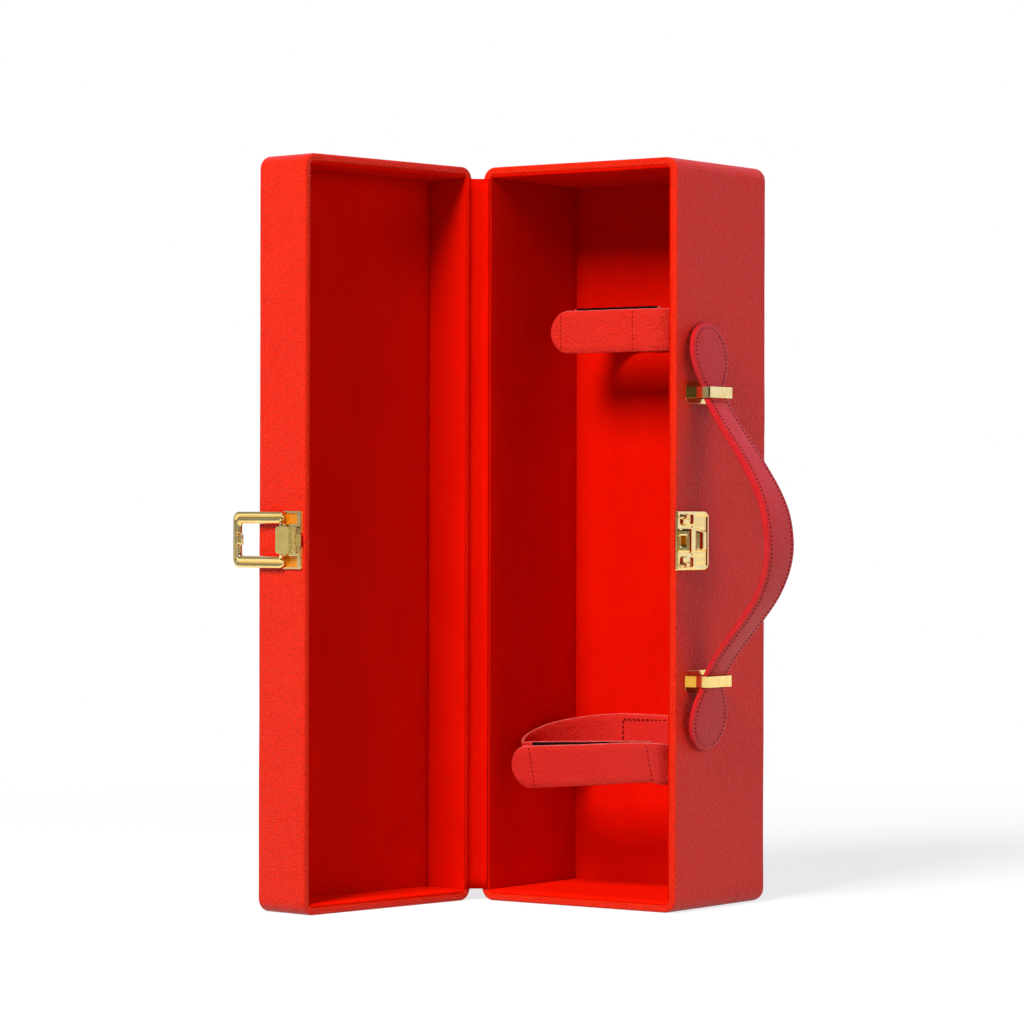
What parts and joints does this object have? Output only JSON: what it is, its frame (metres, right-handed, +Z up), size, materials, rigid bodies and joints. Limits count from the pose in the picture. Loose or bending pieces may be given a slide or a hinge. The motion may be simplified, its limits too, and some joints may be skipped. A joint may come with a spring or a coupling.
{
  "type": "bottle case",
  "caption": "Upright leather-covered box for one bottle with a side-hinged lid, velvet lining, hook-and-loop bottle straps, draw latch and strap handle in loops.",
  "frame": {"origin": "centre of the body's base, on the surface it stands on", "axes": "+Z up along the height, the body's open front faces -Y, the latch and handle side faces +X, the hinge side faces -X"},
  "size_m": [0.2239, 0.2013, 0.36],
  "materials": {
    "case_leather": "satin",
    "handle_leather": "satin",
    "strap_leather": "satin",
    "velvet": "matte",
    "case_board": "matte",
    "polished_gold": "polished",
    "satin_gold": "satin",
    "hook_and_loop": "matte",
    "thread": "matte"
  },
  "bodies": {
    "case_body": {"body_back_board": "case_board", "body_back_lining": "velvet", "body_base_leather": "case_leather", "body_bottom_board": "case_board", "body_bottom_lining": "velvet", "body_hinge_board": "case_board", "body_hinge_lining": "velvet", "body_latch_board": "case_board", "body_latch_lining": "velvet", "body_leather_wrap": "case_leather", "body_strap_band": "strap_leather", "body_strap_loop_tape": "hook_and_loop", "body_top_board": "case_board", "body_top_lining": "velvet", "catch_plate": "polished_gold", "catch_rivets": "polished_gold", "handle_loop_rivets": "polished_gold", "handle_lower_loop": "satin_gold", "handle_upper_loop": "satin_gold", "hinge_spine_leather": "case_leather", "hinge_velvet_strip": "velvet", "neck_strap_band": "strap_leather", "neck_strap_loop_tape": "hook_and_loop"},
    "lid": {"latch_base_plate": "polished_gold", "latch_pin": "polished_gold", "latch_rivets": "polished_gold", "lid_base_leather": "case_leather", "lid_bottom_board": "case_board", "lid_bottom_lining": "velvet", "lid_front_board": "case_board", "lid_front_lining": "velvet", "lid_hinge_board": "case_board", "lid_hinge_lining": "velvet", "lid_latch_board": "case_board", "lid_latch_lining": "velvet", "lid_leather_wrap": "case_leather", "lid_top_board": "case_board", "lid_top_lining": "velvet"},
    "latch_lever": {"latch_lever": "satin_gold"},
    "latch_bail": {"latch_bail": "polished_gold"},
    "handle_grip": {"handle_grip": "handle_leather", "handle_lower_slope": "handle_leather", "handle_upper_slope": "handle_leather"},
    "handle_upper_end": {"handle_upper_end": "handle_leather"},
    "handle_lower_end": {"handle_lower_end": "handle_leather"},
    "neck_strap_tab": {"neck_strap_hook_tape": "hook_and_loop", "neck_strap_tab": "strap_leather"},
    "body_strap_tab": {"body_strap_hook_tape": "hook_and_loop", "body_strap_tab": "strap_leather"}
  },
  "joints": [
    {"name": "lid_hinge", "type": "hinge", "parent": "case_body", "child": "lid", "pos_m": [-0.06, -0.0406, 0.18], "axis": [0, 0, 1], "range_deg": [-82.8, 97.2], "deforming": ["hinge_velvet_strip", "hinge_spine_leather"]},
    {"name": "latch_lever_hinge", "type": "hinge", "parent": "lid", "child": "latch_lever", "pos_m": [-0.07761, -0.15842, 0.1772], "axis": [0, 0, -1], "range_deg": [-110, 0]},
    {"name": "latch_bail_hinge", "type": "hinge", "parent": "latch_lever", "child": "latch_bail", "pos_m": [-0.08817, -0.1583, 0.1772], "axis": [0, 0, 1], "range_deg": [0, 180]},
    {"name": "handle_press", "type": "slide", "parent": "case_body", "child": "handle_grip", "axis": [1, 0, 0], "range_m": [-0.03, 0], "deforming": ["handle_upper_slope", "handle_lower_slope"]},
    {"name": "handle_upper_end_slide", "type": "slide", "parent": "handle_grip", "child": "handle_upper_end", "axis": [0.9438, 0, 0.3306], "range_m": [0, 0.03189]},
    {"name": "handle_lower_end_slide", "type": "slide", "parent": "handle_grip", "child": "handle_lower_end", "axis": [0.9438, 0, -0.3306], "range_m": [0, 0.03189]},
    {"name": "neck_strap_opening", "type": "hinge", "parent": "case_body", "child": "neck_strap_tab", "pos_m": [0.0234, -0.0091, 0.279], "axis": [0, 0, -1], "range_deg": [-110, 0]},
    {"name": "body_strap_opening", "type": "hinge", "parent": "case_body", "child": "body_strap_tab", "pos_m": [0.0385, -0.0339, 0.069], "axis": [0, 0, -1], "range_deg": [-110, 0]}
  ],
  "couplings": [
    {"joint": "handle_upper_end_slide", "follows": "handle_press", "ratio": -1.0596},
    {"joint": "handle_lower_end_slide", "follows": "handle_press", "ratio": -1.0596}
  ]
}
